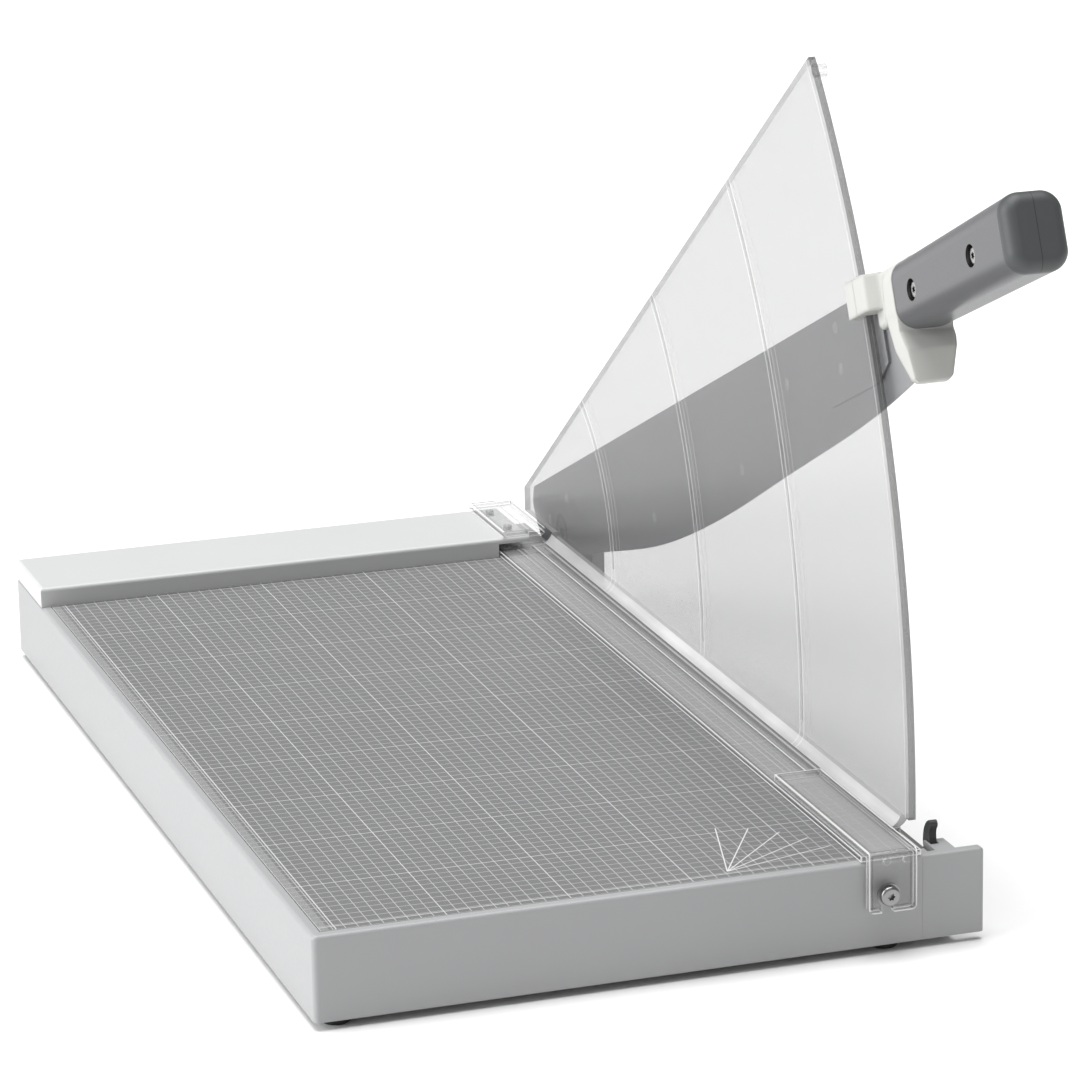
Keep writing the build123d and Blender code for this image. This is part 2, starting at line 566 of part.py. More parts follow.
def blade_carrier():
    """Painted backing plate on the outer side of the blade, up to the handle."""
    edge = Spline((8, -8), (120, -14), (262, -19.5), (400, -8.5), (452, 2.5))
    tail = ThreePointArc((8, -8), (-22, 0), (BLADE_REAR + 3, BLADE_TOP - 8))
    rest = Polyline((BLADE_REAR + 3, BLADE_TOP - 8), (BLADE_REAR + 7, BLADE_TOP - 0.6),
                    (480, BLADE_TOP - 0.6), (580, 20.0), (580, 9.0), (480, 5.2), (452, 2.5))
    left = BLADE_LEFT + BLADE_THICK
    body = arm_slab(make_face(edge + tail + rest), left, left + CARRIER_THICK)
    body -= rod_x(left - 1, left + 5, 0, 0, 9.0)
    for s, h in BLADE_RIVETS + TANG_RIVETS:
        body -= rod_x(left - 1, left + 5, -s, h, 2.5)
    for s in HANDLE_SCREW_S:
        body -= rod_x(left - 1, left + 5, -s, HANDLE_SCREW_H, 2.1)
    return on_arm(body)


def tang_plate():
    """Thin plate on the blade's inner face, with a chamfered lower corner."""
    outline = make_face(Polyline((378, -9), (434, -9), (446.5, -3.3), (446.5, 27), (378, 27), close=True))
    body = arm_slab(outline, BLADE_LEFT - TANG_THICK, BLADE_LEFT)
    for s, h in TANG_RIVETS:
        body -= rod_x(BLADE_LEFT - 2, BLADE_LEFT + 1, -s, h, 2.5)
    return on_arm(body)


def rivet_group(places, x0, x1):
    """Flush rivets through the arm with a domed head on the outer side."""
    rivets = []
    for s, h in places:
        shank = rod_x(x0, x1, -s, h, 2.5)
        head = rod_x(x1, x1 + 1.4, -s, h, 4.2)
        head = fillet(head.edges().group_by(Axis.X)[-1], 1.0)
        rivets.append(on_arm(shank + head))
    return rivets


def blade_rivets():
    """Rivets along the blade."""
    return rivet_group(BLADE_RIVETS, BLADE_LEFT, BLADE_LEFT + BLADE_THICK + CARRIER_THICK)


def tang_rivets():
    """Rivets through the tang plate."""
    return rivet_group(TANG_RIVETS, BLADE_LEFT - TANG_THICK, BLADE_LEFT + BLADE_THICK + CARRIER_THICK)


def pivot_bush():
    """Bronze bush in the arm, countersunk for the bolt's head, running on its shoulder."""
    flange_left = BLADE_LEFT + BLADE_THICK + CARRIER_THICK
    outer = rod_x(BLADE_LEFT, flange_left, 0, 0, 9.0)
    outer += rod_x(flange_left, CHEEK_LEFT - 0.4, 0, 0, 12.0)
    bore = rod_x(BLADE_LEFT - 1, CHEEK_LEFT, 0, 0, 6.05)
    seat = Pos(BLADE_LEFT + 0.1, 0, 0) * Rot(0, -90, 0) * Pos(0, 0, -1.5) * Cone(6.2, 8.75, 3.1)
    return on_arm(outer - bore - seat)


def handle_section(inset, s):
    """Rounded rectangle across the arm, a little taller towards the far end."""
    share = (s - HANDLE_START) / (HANDLE_END - HANDLE_START)
    bottom = HANDLE_BOTTOM - HANDLE_DROP * share
    top = HANDLE_TOP + HANDLE_RISE * share
    shape = RectangleRounded(HANDLE_WIDTH - 2 * inset, top - bottom - 2 * inset, HANDLE_ROUND - inset)
    return Pos(HANDLE_CENTRE_X, (top + bottom) / 2) * shape


def handle_body(inset, s0, s1):
    """Handle outline shrunk by inset, from s0 to s1 along the arm."""
    return loft([front_plane(-s) * handle_section(inset, s) for s in (s0, s1)])


def along_arm(section, s0, s1):
    """Section across the arm, extruded from s0 to s1 along it."""
    return extrude(front_plane(-s0) * section, s1 - s0)


def handle_tube():
    """Anodised tube with two screw recesses on its left face."""
    body = handle_body(0, HANDLE_START, HANDLE_END)
    body -= handle_body(2.0, HANDLE_START - 1, HANDLE_END + 1)
    left = HANDLE_CENTRE_X - HANDLE_WIDTH / 2
    for s in HANDLE_SCREW_S:
        body -= rod_x(left - 1, left + 4, -s, HANDLE_SCREW_H, 4.3)
    return on_arm(body)


def handle_core():
    """Moulded filler that holds the carrier's tang inside the tube."""
    body = handle_body(2.05, HANDLE_START + 1, HANDLE_END - 8)
    left = BLADE_LEFT + BLADE_THICK
    body -= block(left - 0.05, left + CARRIER_THICK + 0.05, -582, -HANDLE_START, 0, 28)
    wall = HANDLE_CENTRE_X - HANDLE_WIDTH / 2
    for s in HANDLE_SCREW_S:
        body -= rod_x(wall, wall + HANDLE_SEAT, -s, HANDLE_SCREW_H, 4.3)
        body -= rod_x(wall, wall + 24, -s, HANDLE_SCREW_H, 2.0)
    return on_arm(body)


def handle_screws():
    """Two recessed socket screws across the handle."""
    wall = HANDLE_CENTRE_X - HANDLE_WIDTH / 2
    screw = Rot(0, -90, 0) * pan_screw(1.95, 14, 3.9, 3.2)
    return [on_arm(Pos(wall + HANDLE_SEAT, -s, HANDLE_SCREW_H) * screw) for s in HANDLE_SCREW_S]


def handle_cap():
    """Rubber plug with a domed end."""
    plug = handle_body(2.05, HANDLE_END - 7.5, HANDLE_END)
    dome = handle_body(0, HANDLE_END, HANDLE_END + 6.5)
    dome = fillet(dome.edges().group_by(Axis.Y)[0], 5.2)
    return on_arm(plug + dome)


HOOK_LEFT = GUARD_LEFT - 5.2
HOOK_BOTTOM = 16.5
HOOK_TOP = 31.0
RIM_CLEAR = 443.0          # inner face of the hook, from the pivot


def collar_bridge():
    """Part of the collar that reaches across the guard's rim."""
    bridge = Polyline((HOOK_LEFT, -RIM_CLEAR), (BLADE_LEFT + 8.1, -RIM_CLEAR), (BLADE_LEFT + 8.1, -470.0),
                      (BLADE_LEFT + 0.7, -457.0), (HOOK_LEFT, -452.8), close=True)
    body = extrude(make_face(bridge), HOOK_TOP - HOOK_BOTTOM)
    corner = body.edges().filter_by(Axis.Z).filter_by(
        lambda e: e.center().X < HOOK_LEFT + 0.5 and e.center().Y < -RIM_CLEAR - 5)
    return Pos(0, 0, HOOK_BOTTOM) * fillet(corner, 2.5)


def rim_finger():
    """Glide block on the paper side of the guard's rim."""
    body = block(HOOK_LEFT, HOOK_LEFT + 4.0, -RIM_CLEAR, -433.0, HOOK_BOTTOM, HOOK_TOP)
    end = body.edges().group_by(Axis.Y)[-1]
    return on_arm(fillet(end.filter_by(Axis.Z) + end.filter_by(Axis.X), 1.5))


def collar_shield():
    """Outline of the finger shield across the arm, narrower towards the bottom."""
    points = ((-12.1, 10), (10.5, 6), (9.6, -2), (4.4, -17.4), (2.0, -19.6), (-9.4, -19.6),
              (-11.2, -17.8), (-12.2, -4))
    outline = make_face(Polyline([(HANDLE_CENTRE_X + x, h) for x, h in points], close=True))
    return fillet(outline.vertices().group_by(Axis.Y)[0], 1.0)


def collar_body():
    """Neck round the front end of the blade, joined to the flange on the tube."""
    neck = block(BLADE_LEFT - 3.3, BLADE_LEFT + 8.7, -486.0, -449.0, 9.0, 31.0)
    neck = fillet(neck.edges().filter_by(Axis.Y), 2.5)
    web = block(BLADE_LEFT - 3.3, BLADE_LEFT + 8.7, -486.0, -472.0, -9.0, 14.0)
    web = fillet(web.edges().filter_by(Axis.Z).group_by(Axis.Y)[-1], 2.5)
    outline = make_face(Polyline((478, 29.6), (486, 29.6), (486, 2), (491, -6), (492.5, -19.6),
                                 (489.0, -19.6), (479, -5), (474, 10), close=True))
    outline = fillet(outline.vertices().sort_by(Axis.Y)[:2], 1.2)
    flange = arm_slab(outline, HANDLE_CENTRE_X - 12.6, HANDLE_CENTRE_X + 12.6)
    keep = along_arm(handle_section(-0.2, HANDLE_START) + collar_shield(), 460, 500)
    return neck + web + (flange & keep)


def collar():
    """Off-white moulding: neck, flange, finger shield and bridge in one piece."""
    body = collar_body() + collar_bridge()
    left = BLADE_LEFT
    middle = left + BLADE_THICK
    right = middle + CARRIER_THICK
    body -= block(left - TANG_THICK - 0.1, middle, -474.0, -430.0, -40, 28.6)
    body -= block(middle, right, -480.0, -430.0, 0, 28.0)
    body -= block(middle, right, -500.0, -480.0, 5.0, 28.0)
    return on_arm(body)


# ---- assembly ----
def all_parts():
    """Every node with its list of solids."""
    parts = {
        "base_frame": base_frame(),
        "board": board(),
        "printed_mat": printed_mat(),
        "backstop": backstop(),
        "backstop_screws": backstop_screws(),
        "bottom_plate": bottom_plate(),
        "bottom_screws": bottom_screws(),
        "foot_screws": foot_screws(),
        "fixed_blade": fixed_blade(),
        "fixed_blade_screws": fixed_blade_screws(),
        "front_end_piece": front_end_piece(),
        "end_piece_screws": end_piece_screws(),
        "pivot_bracket": pivot_bracket(),
        "bracket_screws": bracket_screws(),
        "pivot_bolt": pivot_bolt(),
        "spring_washer": spring_washer(),
        "pivot_nut": pivot_nut(),
        "guide_screw": guide_screw(),
        "guide_washer": guide_washer(),
        "guide_spacer": guide_spacer(),
        "latch_pin": latch_pin(),
        "latch_lever": latch_lever(),
        "clamp_rail": clamp_rail(),
        "clamp_head": clamp_head(),
        "clamp_head_rivets": clamp_head_rivets(),
        "clamp_rear_tab": clamp_rear_tab(),
        "clamp_guide_pins": clamp_guide_pins(),
        "guard": guard(),
        "guard_stop": guard_stop(),
        "blade": blade(),
        "blade_carrier": blade_carrier(),
        "blade_rivets": blade_rivets(),
        "tang_plate": tang_plate(),
        "tang_rivets": tang_rivets(),
        "pivot_bush": pivot_bush(),
        "collar": collar(),
        "rim_finger": rim_finger(),
        "handle_tube": handle_tube(),
        "handle_core": handle_core(),
        "handle_screws": handle_screws(),
        "handle_cap": handle_cap(),
    }
    for name, (x, y) in FEET.items():
        parts[name] = foot(x, y)
    return parts


def as_compound(shape):
    """One compound from a solid, a part or a list of them."""
    pieces = shape if isinstance(shape, list) else [shape]
    solids = []
    for piece in pieces:
        solids += piece.solids()
    return Compound(children=solids) if len(solids) > 1 else solids[0]


def origin_shift(shapes):
    """Vector from the working frame to the middle of the whole object's footprint."""
    box = Compound(children=[shape.moved(Location()) for shape in shapes]).bounding_box()
    return Vector(-box.center().X, -box.center().Y, -box.min.Z)


def main():
    """Write one STEP file for each node."""
    os.makedirs("parts", exist_ok=True)
    nodes = {name: as_compound(shape) for name, shape in all_parts().items()}
    shift = origin_shift(nodes.values())
    print("shift", tuple(round(value, 4) for value in shift))
    for name, shape in nodes.items():
        export_step(shape.moved(Location(shift)), f"parts/{name}.step")


main()
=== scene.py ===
import json
import math

import bmesh
import bpy
from mathutils import Matrix, Vector


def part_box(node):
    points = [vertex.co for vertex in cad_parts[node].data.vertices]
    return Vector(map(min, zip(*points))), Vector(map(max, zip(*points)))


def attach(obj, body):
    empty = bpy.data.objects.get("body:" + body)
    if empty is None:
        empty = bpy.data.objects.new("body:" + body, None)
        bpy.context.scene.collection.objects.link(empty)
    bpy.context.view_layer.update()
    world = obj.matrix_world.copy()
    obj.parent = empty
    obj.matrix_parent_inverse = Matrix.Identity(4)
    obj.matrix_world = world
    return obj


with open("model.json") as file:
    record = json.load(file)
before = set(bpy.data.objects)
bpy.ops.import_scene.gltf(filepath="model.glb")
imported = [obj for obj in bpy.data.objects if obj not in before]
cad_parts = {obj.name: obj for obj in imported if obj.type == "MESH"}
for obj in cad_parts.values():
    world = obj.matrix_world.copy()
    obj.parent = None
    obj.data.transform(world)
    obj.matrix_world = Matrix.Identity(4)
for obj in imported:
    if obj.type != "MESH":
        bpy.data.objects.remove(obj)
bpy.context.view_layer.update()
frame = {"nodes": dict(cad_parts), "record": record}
NODES = frame["nodes"]
JOINTS = {joint["name"]: joint for joint in frame["record"]["behaviour"]["joints"]}
PIVOT = Vector(JOINTS["blade_swing"]["pos_m"])


# ---- shader helpers ----
class Shader:
    """Small builder for one node material."""

    def __init__(self, name, roughness=0.5, metallic=0.0):
        self.material = bpy.data.materials.new(name)
        self.material.use_nodes = True
        self.tree = self.material.node_tree
        self.bsdf = self.tree.nodes["Principled BSDF"]
        self.bsdf.inputs["Roughness"].default_value = roughness
        self.bsdf.inputs["Metallic"].default_value = metallic
        self.position = self.tree.nodes.new("ShaderNodeTexCoord").outputs["Object"]

    def put(self, value, socket):
        """Link an output or set a plain value."""
        if isinstance(value, bpy.types.NodeSocket):
            self.tree.links.new(value, socket)
        else:
            socket.default_value = value

    def math(self, operation, first, second=0.0, third=0.0):
        """One maths node."""
        node = self.tree.nodes.new("ShaderNodeMath")
        node.operation = operation
        for value, socket in zip((first, second, third), node.inputs):
            self.put(value, socket)
        return node.outputs[0]

    def axis(self, index, origin=0.0):
        """Coordinate along one axis, measured from origin."""
        split = self.tree.nodes.new("ShaderNodeSeparateXYZ")
        self.tree.links.new(self.position, split.inputs[0])
        return self.math("SUBTRACT", split.outputs[index], origin)

    def normal_sizes(self):
        """How far the surface's normal, in object space, points along each axis, without its sign."""
        split = self.tree.nodes.new("ShaderNodeSeparateXYZ")
        normal = self.tree.nodes.new("ShaderNodeTexCoord").outputs["Normal"]
        self.tree.links.new(normal, split.inputs[0])
        return [self.math("ABSOLUTE", output) for output in split.outputs]

    def source(self, name):
        """Output that already feeds one of the shader's inputs."""
        return self.bsdf.inputs[name].links[0].from_socket

    def noise(self, scale, stretch=(1.0, 1.0, 1.0), detail=4.0):
        """Noise in object space, its scale in cycles per metre."""
        mapping = self.tree.nodes.new("ShaderNodeMapping")
        mapping.inputs["Scale"].default_value = stretch
        self.tree.links.new(self.position, mapping.inputs["Vector"])
        node = self.tree.nodes.new("ShaderNodeTexNoise")
        node.inputs["Scale"].default_value = scale
        node.inputs["Detail"].default_value = detail
        self.tree.links.new(mapping.outputs[0], node.inputs["Vector"])
        return node.outputs["Fac"]

    def mix(self, factor, first, second):
        """Blend of two colours."""
        node = self.tree.nodes.new("ShaderNodeMix")
        node.data_type = "RGBA"
        colour_inputs = [socket for socket in node.inputs if socket.type == "RGBA"]
        self.put(factor, node.inputs[0])
        self.put(first, colour_inputs[0])
        self.put(second, colour_inputs[1])
        return next(socket for socket in node.outputs if socket.type == "RGBA")

    def spread(self, value, low, high):
        """Map 0..1 to low..high."""
        return self.math("MULTIPLY_ADD", value, high - low, low)

    def bump(self, height, strength, distance):
        """Bump on the shader's normal."""
        node = self.tree.nodes.new("ShaderNodeBump")
        node.inputs["Strength"].default_value = strength
        node.inputs["Distance"].default_value = distance
        self.tree.links.new(height, node.inputs["Height"])
        self.tree.links.new(node.outputs[0], self.bsdf.inputs["Normal"])

    def soften(self, radius):
        """Rounded look on sharp corners, under any bump that is already there."""
        node = self.tree.nodes.new("ShaderNodeBevel")
        node.samples = 6
        node.inputs["Radius"].default_value = radius
        below = self.bsdf.inputs["Normal"].links
        target = below[0].from_node.inputs["Normal"] if below else self.bsdf.inputs["Normal"]
        self.tree.links.new(node.outputs[0], target)

    def stripe(self, value, pitch, width):
        """1 on a line of that width at every multiple of pitch."""
        half = self.math("MULTIPLY", value, 1.0 / pitch)
        near = self.math("PINGPONG", half, 0.5)
        return self.math("LESS_THAN", near, width / pitch / 2)

    def band(self, value, centre, width):
        """1 within width of a centre value."""
        return self.math("COMPARE", value, centre, width / 2)


def rgb(value, tint=(1.0, 1.0, 1.0)):
    """Grey level with a tint."""
    return (value * tint[0], value * tint[1], value * tint[2], 1.0)


def coloured(shader, colour, variation, scale):
    """Base colour with a soft low-frequency variation."""
    low = tuple(c * (1 - variation) for c in colour[:3]) + (1.0,)
    high = tuple(min(c * (1 + variation), 1.0) for c in colour[:3]) + (1.0,)
    result = shader.mix(shader.noise(scale), low, high)
    shader.put(result, shader.bsdf.inputs["Base Color"])
    return result


def paint(name, colour, roughness, grain=2600.0):
    """Powder coat: fine orange-peel grain and slight tone changes."""
    shader = Shader(name, roughness)
    coloured(shader, colour, 0.025, 14.0)
    shader.put(shader.spread(shader.noise(grain / 4), roughness - 0.06, roughness + 0.06),
               shader.bsdf.inputs["Roughness"])
    shader.bump(shader.noise(grain), 0.25, 0.00002)
    return shader.material


ALONG_Y = (1.0, 0.05, 1.0)
EVEN = (1.0, 1.0, 1.0)


def metal(name, colour, roughness, stretch=EVEN):
    """Metal with fine scratches, drawn out along one direction where stretch says so."""
    shader = Shader(name, roughness, 1.0)
    scratches = shader.noise(900.0, stretch, 6.0)
    dark = tuple(c * 0.86 for c in colour[:3]) + (1.0,)
    shader.put(shader.mix(scratches, dark, colour), shader.bsdf.inputs["Base Color"])
    shader.put(shader.spread(scratches, roughness - 0.08, roughness + 0.1),
               shader.bsdf.inputs["Roughness"])
    shader.bump(scratches, 0.15, 0.00002)
    return shader.material


def plastic(name, colour, roughness, grain=1500.0, strength=0.3):
    """Moulded plastic with a fine spark-eroded grain."""
    shader = Shader(name, roughness)
    coloured(shader, colour, 0.03, 30.0)
    shader.bump(shader.noise(grain, detail=2.0), strength, 0.00003)
    return shader.material


def soft_moulding(name, colour, roughness, radius):
    """Moulded plastic whose corners look rounded by the given radius."""
    shader = Shader(name, roughness)
    coloured(shader, colour, 0.03, 30.0)
    shader.bump(shader.noise(1500.0, detail=2.0), 0.3, 0.00003)
    shader.soften(radius)
    return shader.material


FROSTED = 0.26             # opacity of one flat face of the guard
CLEAR = 0.07               # the same for the clamp parts
GRAZING = 0.5              # opacity of a flat face seen from the side


def clear(name, colour, faces, flat_density, edge_density, roughness):
    """Clear sheet: thin on the faces across the given axes, denser on its cut edges, which carry painted
    light and dark streaks in place of refraction and highlights.
    """
    shader = Shader(name, roughness)
    sizes = shader.normal_sizes()
    flat = 0.0
    for index in faces:
        flat = shader.math("MAXIMUM", flat, shader.math("GREATER_THAN", sizes[index], 0.93))
    facing = shader.tree.nodes.new("ShaderNodeLayerWeight")
    facing.inputs["Blend"].default_value = 0.3
    body = shader.spread(facing.outputs["Facing"], flat_density, GRAZING)
    rim = shader.math("MULTIPLY", shader.math("SUBTRACT", 1.0, flat), edge_density)
    density = shader.math("ADD", shader.math("MULTIPLY", body, flat), rim)
    shader.put(density, shader.bsdf.inputs["Alpha"])
    tone = coloured(shader, colour, 0.02, 20.0)
    # Painted light and dark streaks on the cut edges, in place of their refraction and highlights.
    painted_edge_light_and_shade = shader.mix(shader.noise(60.0, (1.0, 0.2, 1.0)), rgb(0.2), rgb(0.85))
    shader.put(shader.mix(flat, painted_edge_light_and_shade, tone), shader.bsdf.inputs["Base Color"])
    shader.bump(shader.noise(300.0), 0.05, 0.00003)
    return shader


def clear_block(name, node):
    """Clear moulded part with a painted highlight line on its corners and a painted shade line a little
    inside them.
    """
    shader = clear(name, rgb(0.5), (0, 1, 2), CLEAR, 0.42, 0.08)
    low, high = (Vector(corner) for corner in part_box(node))
    sizes = shader.normal_sizes()
    inset = 1.0
    for index in range(3):
        middle = (low[index] + high[index]) / 2
        away = shader.math("ABSOLUTE", shader.axis(index, middle))
        gap = shader.math("SUBTRACT", (high[index] - low[index]) / 2, away)
        own = shader.math("GREATER_THAN", sizes[index], 0.7)
        inset = shader.math("MINIMUM", inset, shader.math("ADD", gap, own))
    # Painted highlight on the corners, and painted shade a little inside them; both are also made denser.
    painted_highlight = shader.math("LESS_THAN", inset, 0.0005)
    dark = shader.band(inset, 0.0013, 0.0007)
    base = shader.mix(dark, shader.source("Base Color"), rgb(0.1))
    shader.put(shader.mix(painted_highlight, base, rgb(0.85)), shader.bsdf.inputs["Base Color"])
    lines = shader.math("ADD", shader.math("MULTIPLY", painted_highlight, 0.75), shader.math("MULTIPLY", dark, 0.35))
    shader.put(shader.math("MAXIMUM", shader.source("Alpha"), lines), shader.bsdf.inputs["Alpha"])
    return shader.material


GRID_PITCH = 0.005
STRONG_PITCH = 0.05
TICK_PITCH = 0.001
TICK_LENGTH = 0.0035       # from the mat's left edge


def printed_grid():
    """Cutting mat: 5 mm grid, stronger lines each 50 mm, a border, edge ticks and an angle fan."""
    low, high = (Vector(corner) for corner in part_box("printed_mat"))
    shader = Shader("mat_print", 0.55)
    x = shader.axis(0, low.x)
    y = shader.axis(1, low.y)
    columns = shader.math("MULTIPLY", shader.stripe(x, GRID_PITCH, 0.00034), 0.55)
    rows = shader.math("MULTIPLY", shader.stripe(y, GRID_PITCH, 0.0005), 0.38)
    strong = shader.math("MAXIMUM", shader.stripe(x, STRONG_PITCH, 0.00038),
                         shader.stripe(y, STRONG_PITCH, 0.00038))
    border = shader.math("MAXIMUM", shader.band(y, 0.0038, 0.0005), shader.band(x, 0.0062, 0.0005))
    strong = shader.math("MULTIPLY", shader.math("MAXIMUM", strong, border), 0.8)
    at_edge = shader.math("LESS_THAN", x, TICK_LENGTH)
    ticks = shader.math("MULTIPLY", shader.stripe(y, TICK_PITCH, 0.00025), at_edge)
    ticks = shader.math("MULTIPLY", ticks, 0.7)
    lines = angle_fan(shader, x, y, high.x - low.x)
    for group in (columns, rows, strong, ticks):
        lines = shader.math("MAXIMUM", lines, group)
    ground = coloured(shader, rgb(0.15, (0.99, 1.0, 1.01)), 0.08, 9.0)
    shader.put(shader.mix(lines, ground, rgb(0.58)), shader.bsdf.inputs["Base Color"])
    shader.bump(shader.noise(1800.0), 0.2, 0.00002)
    return shader.material


FAN_ANGLES = (15, 30, 45, 60, 75)
FAN_LENGTH = 0.05
FAN_FROM_RIGHT = 0.074     # where the rays start, from the mat's right and front edges
FAN_FROM_FRONT = 0.0062


def angle_fan(shader, x, y, width):
    """Straight rays at even angles from a point on the front border, near the clamp."""
    dx = shader.math("SUBTRACT", x, width - FAN_FROM_RIGHT)
    dy = shader.math("SUBTRACT", y, FAN_FROM_FRONT)
    total = 0.0
    for degrees in FAN_ANGLES:
        cos, sin = math.cos(math.radians(degrees)), math.sin(math.radians(degrees))
        across = shader.math("SUBTRACT", shader.math("MULTIPLY", dx, sin), shader.math("MULTIPLY", dy, cos))
        along = shader.math("ADD", shader.math("MULTIPLY", dx, cos), shader.math("MULTIPLY", dy, sin))
        thin = shader.band(across, 0.0, 0.0005)
        inside = shader.band(along, FAN_LENGTH / 2, FAN_LENGTH)
        total = shader.math("MAXIMUM", total, shader.math("MULTIPLY", thin, inside))
    return total


GUARD_RADIUS = 0.4392
RIM_WIDTH = 0.0034         # width of the painted shade band along the rim, which stands in for the rim's cut edge seen through the sheet
SCORE_RADII = (0.0869, 0.2053, 0.3242)
SCORE_HALF_GAP = 0.0022    # half the distance between the two lines of a pair


def guard_sheet():
    """Frosted clear sheet with three pairs of fine score lines, and a painted shade band round the pivot
    along its rim, with a painted highlight line at the band's inner edge.
    """
    shader = clear("guard_clear", rgb(0.21, (0.985, 0.99, 1.0)), (0,), FROSTED, 0.7, 0.2)
    radius = distance(shader, PIVOT.y, PIVOT.z)
    # Painted highlight line at the inner edge of the rim's painted shade band; the score lines added below
    # are the sheet's own marks.
    score_lines_and_painted_highlight = shader.band(radius, GUARD_RADIUS - RIM_WIDTH, 0.0006)
    for value in SCORE_RADII:
        for side in (-SCORE_HALF_GAP, SCORE_HALF_GAP):
            score_lines_and_painted_highlight = shader.math("MAXIMUM", score_lines_and_painted_highlight, shader.band(radius, value + side, 0.0007))
    # Painted shade: the band along the rim is darkened and made denser in place of its cut edge seen
    # through the sheet.
    rim = shader.math("GREATER_THAN", radius, GUARD_RADIUS - RIM_WIDTH)
    base = shader.mix(rim, shader.source("Base Color"), rgb(0.09))
    shader.put(shader.mix(score_lines_and_painted_highlight, base, rgb(0.62)), shader.bsdf.inputs["Base Color"])
    density = shader.math("MAXIMUM", shader.source("Alpha"), shader.math("MULTIPLY", rim, 0.4))
    density = shader.math("MAXIMUM", density, shader.math("MULTIPLY", score_lines_and_painted_highlight, 0.6))
    shader.put(density, shader.bsdf.inputs["Alpha"])
    return shader.material


def distance(shader, y, z):
    """Distance from an axis along X that passes through y and z."""
    squares = [shader.math("POWER", shader.math("ABSOLUTE", shader.axis(index, value)), 2.0)
               for index, value in ((1, y), (2, z))]
    return shader.math("SQRT", shader.math("ADD", *squares))


SCREW_HEAD_RADIUS = 0.0039
RECESS_RADIUS = 0.00435


def handle_coat():
    """Anodised grey coat, with painted shade inside the two screw recesses."""
    low, high = (Vector(corner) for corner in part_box("handle_screws"))
    shader = Shader("handle_coat", 0.34)
    tone = coloured(shader, rgb(0.097, (0.98, 0.99, 1.05)), 0.025, 14.0)
    # Painted shade: the coat is darkened inside the two screw recesses.
    painted_recess_shade = 0.0
    front = (low.y + SCREW_HEAD_RADIUS, high.z - SCREW_HEAD_RADIUS)
    rear = (high.y - SCREW_HEAD_RADIUS, low.z + SCREW_HEAD_RADIUS)
    for y, z in (front, rear):
        inside = shader.math("LESS_THAN", distance(shader, y, z), RECESS_RADIUS)
        painted_recess_shade = shader.math("MAXIMUM", painted_recess_shade, inside)
    shader.put(shader.mix(painted_recess_shade, tone, rgb(0.012)), shader.bsdf.inputs["Base Color"])
    shader.put(shader.spread(shader.noise(850.0), 0.28, 0.4), shader.bsdf.inputs["Roughness"])
    shader.bump(shader.noise(3400.0), 0.25, 0.00002)
    return shader.material


def cap_rubber():
    """Dark soft cap with a fine mould line down its middle."""
    low, high = (Vector(corner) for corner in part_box("handle_cap"))
    shader = Shader("cap_rubber", 0.5)
    tone = coloured(shader, rgb(0.06, (0.93, 1.0, 1.03)), 0.03, 30.0)
    line = shader.band(shader.axis(0, (low.x + high.x) / 2), 0.0, 0.0003)
    shader.put(shader.mix(line, tone, rgb(0.02)), shader.bsdf.inputs["Base Color"])
    shader.bump(shader.noise(2200.0, detail=2.0), 0.4, 0.00003)
    return shader.material


def assign(material, *names):
    """Give CAD nodes a material."""
    for name in names:
        mesh = NODES[name].data
        mesh.materials.clear()
        mesh.materials.append(material)


def dress_nodes():
    """Every CAD node's finish."""
    assign(paint("frame_paint", rgb(0.335, (0.99, 1.0, 1.01)), 0.42), "base_frame", "front_end_piece",
           "bottom_plate")
    assign(paint("backstop_paint", rgb(0.52, (0.99, 1.0, 1.0)), 0.4), "backstop")
    assign(plastic("board_core", rgb(0.12), 0.6), "board")
    assign(printed_grid(), "printed_mat")
    assign(metal("ground_steel", rgb(0.36, (0.98, 0.99, 1.02)), 0.42, ALONG_Y), "blade",
           "tang_plate")
    assign(metal("strip_steel", rgb(0.45), 0.36, ALONG_Y), "fixed_blade")
    assign(metal("screw_steel", rgb(0.3), 0.3), "backstop_screws", "bottom_screws",
           "foot_screws", "fixed_blade_screws", "end_piece_screws", "bracket_screws", "pivot_bolt",
           "spring_washer", "pivot_nut", "guide_screw", "guide_washer", "guide_spacer", "latch_pin")
    assign(metal("rivet_steel", rgb(0.5), 0.3), "blade_rivets", "tang_rivets")
    assign(metal("socket_screw_steel", rgb(0.42), 0.25), "handle_screws")
    assign(paint("arm_paint", rgb(0.17), 0.4), "blade_carrier", "pivot_bracket")
    assign(plastic("latch_plastic", rgb(0.035), 0.45), "latch_lever", "handle_core")
    assign(clear("clamp_clear", rgb(0.5), (1, 2), CLEAR, 0.42, 0.08).material, "clamp_head_rivets",
           "guard_stop", "clamp_guide_pins")
    for node in ("clamp_rail", "clamp_head", "clamp_rear_tab"):
        assign(clear_block(node + "_clear", node), node)
    assign(guard_sheet(), "guard")
    assign(soft_moulding("collar_plastic", rgb(0.5, (0.99, 1.0, 0.95)), 0.45, 0.0022), "collar",
           "rim_finger")
    assign(handle_coat(), "handle_tube")
    assign(cap_rubber(), "handle_cap")
    assign(metal("bush_bronze", rgb(0.22, (1.08, 0.96, 0.8)), 0.35), "pivot_bush")
    assign(plastic("foot_rubber", rgb(0.012), 0.65, 1800.0), "foot_front_left", "foot_front_right",
           "foot_rear_left", "foot_rear_right")


# ---- extra pieces ----
SEAM_DEPTH = 0.00005
SEAM_HALF_WIDTH = 0.00012
SEAM_BOTTOM_GAP = 0.0005   # between the seam's ends and the end piece's bottom and top
SEAM_TOP_GAP = 0.0014


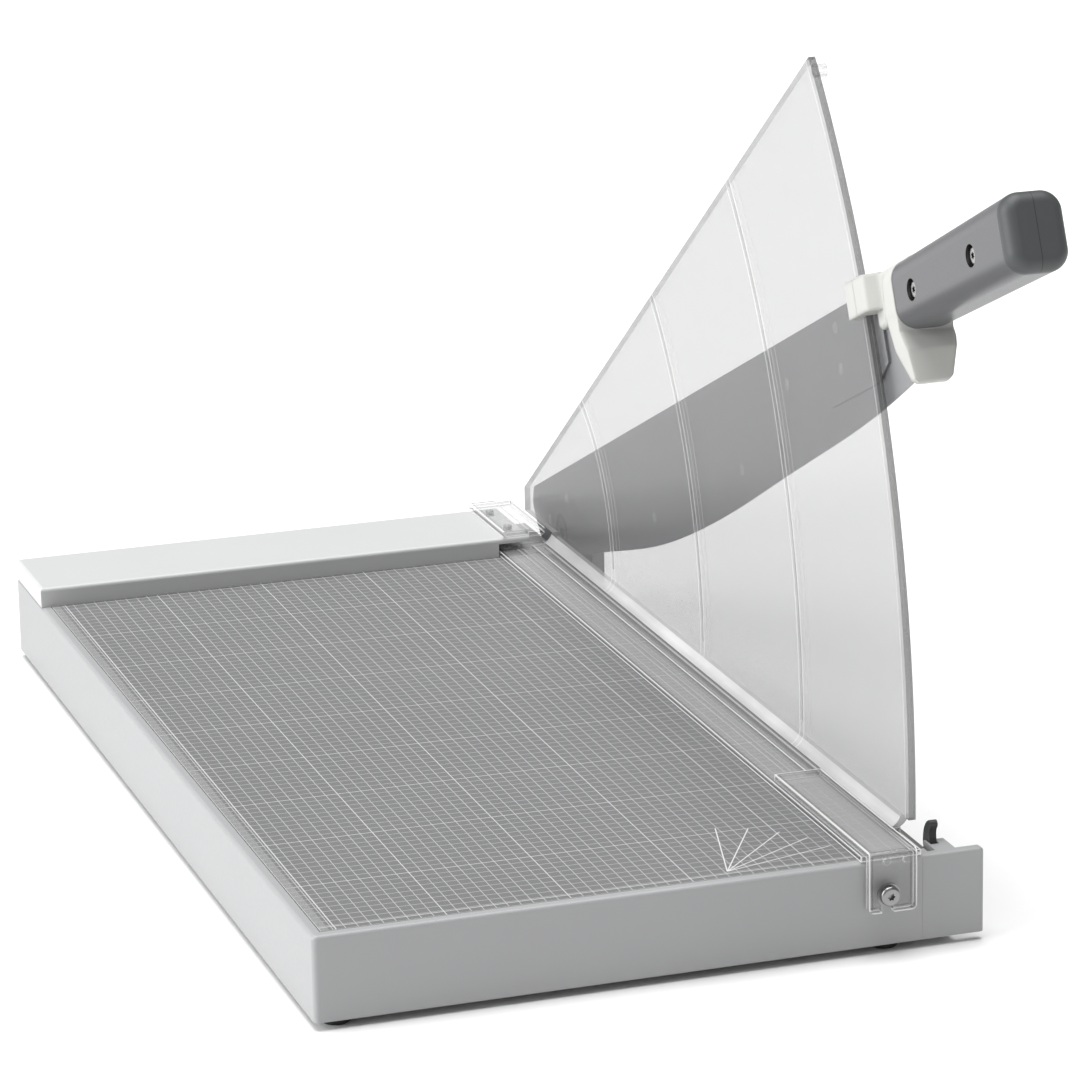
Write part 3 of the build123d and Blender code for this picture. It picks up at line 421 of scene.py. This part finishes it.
def seam_line():
    """Thin dark joint between the front wall and the end piece."""
    low, high = (Vector(corner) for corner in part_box("front_end_piece"))
    mesh = bmesh.new()
    depth, half = SEAM_DEPTH, SEAM_HALF_WIDTH
    bottom, top = low.z + SEAM_BOTTOM_GAP, high.z - SEAM_TOP_GAP
    corners = [(low.x - half, bottom), (low.x + half, bottom), (low.x + half, top), (low.x - half, top)]
    front = [mesh.verts.new((x, low.y - depth, z)) for x, z in corners]
    back = [mesh.verts.new((x, low.y + depth, z)) for x, z in corners]
    mesh.faces.new(front)
    mesh.faces.new(back[::-1])
    for index in range(4):
        other = (index + 1) % 4
        mesh.faces.new((front[index], back[index], back[other], front[other]))
    bmesh.ops.recalc_face_normals(mesh, faces=mesh.faces)
    return from_bmesh(mesh, "end_piece_seam")


def from_bmesh(mesh, name):
    """New object from a bmesh."""
    data = bpy.data.meshes.new(name)
    mesh.to_mesh(data)
    mesh.free()
    piece = bpy.data.objects.new(name, data)
    bpy.context.scene.collection.objects.link(piece)
    return piece


def add_pieces():
    """Pieces that the CAD doesn't hold."""
    seam = seam_line()
    seam.data.materials.append(plastic("seam_shadow", rgb(0.3), 0.7))
    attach(seam, "base")


# ---- stage, light and camera ----
def add_floor():
    """Pale floor that fills the view."""
    mesh = bmesh.new()
    bmesh.ops.create_grid(mesh, x_segments=8, y_segments=8, size=12.0)
    floor = from_bmesh(mesh, "floor")
    shader = Shader("floor_pale", 0.8)
    coloured(shader, rgb(0.86), 0.01, 1.0)
    floor.data.materials.append(shader.material)


def add_light(name, towards, strength, angle):
    """Soft sun that shines from the direction towards."""
    light = bpy.data.lights.new(name, "SUN")
    light.energy = strength
    light.angle = angle
    lamp = bpy.data.objects.new(name, light)
    lamp.rotation_euler = Vector(towards).to_track_quat("Z", "Y").to_euler()
    bpy.context.scene.collection.objects.link(lamp)


def add_world(strength):
    """Even white surround."""
    world = bpy.data.worlds.new("studio")
    world.use_nodes = True
    world.node_tree.nodes["Background"].inputs["Color"].default_value = (1.0, 1.0, 1.0, 1.0)
    world.node_tree.nodes["Background"].inputs["Strength"].default_value = strength
    bpy.context.scene.world = world


EYE_FROM_PIVOT = Vector((-0.7054, -2.1123, 0.6417))
FORWARD = Vector((0.29898, 0.91274, -0.27841))
RIGHT = Vector((0.94854, -0.31615, -0.01783))
LENS_MM = 162.1


def add_camera():
    """Long lens from the front left, a little above the object."""
    data = bpy.data.cameras.new("camera")
    data.sensor_width = 36.0
    data.lens = LENS_MM
    data.clip_end = 60.0
    camera = bpy.data.objects.new("camera", data)
    forward = FORWARD.normalized()
    right = (RIGHT - forward * RIGHT.dot(forward)).normalized()
    up = right.cross(forward)
    axes = Matrix((right, up, -forward)).transposed().to_4x4()
    camera.matrix_world = Matrix.Translation(PIVOT + EYE_FROM_PIVOT) @ axes
    bpy.context.scene.collection.objects.link(camera)
    bpy.context.scene.camera = camera


def main():
    """Whole scene."""
    dress_nodes()
    add_pieces()
    add_floor()
    add_world(0.26)
    add_light("key_above", (-0.05, 0.08, 1.0), 3.45, 0.9)
    add_light("key_left", (-0.93, 0.12, 0.34), 2.85, 0.9)
    add_light("fill", (-0.2, -0.7, 0.6), 0.12, 1.2)
    add_camera()
    bpy.context.scene.view_settings.view_transform = "Standard"


main()
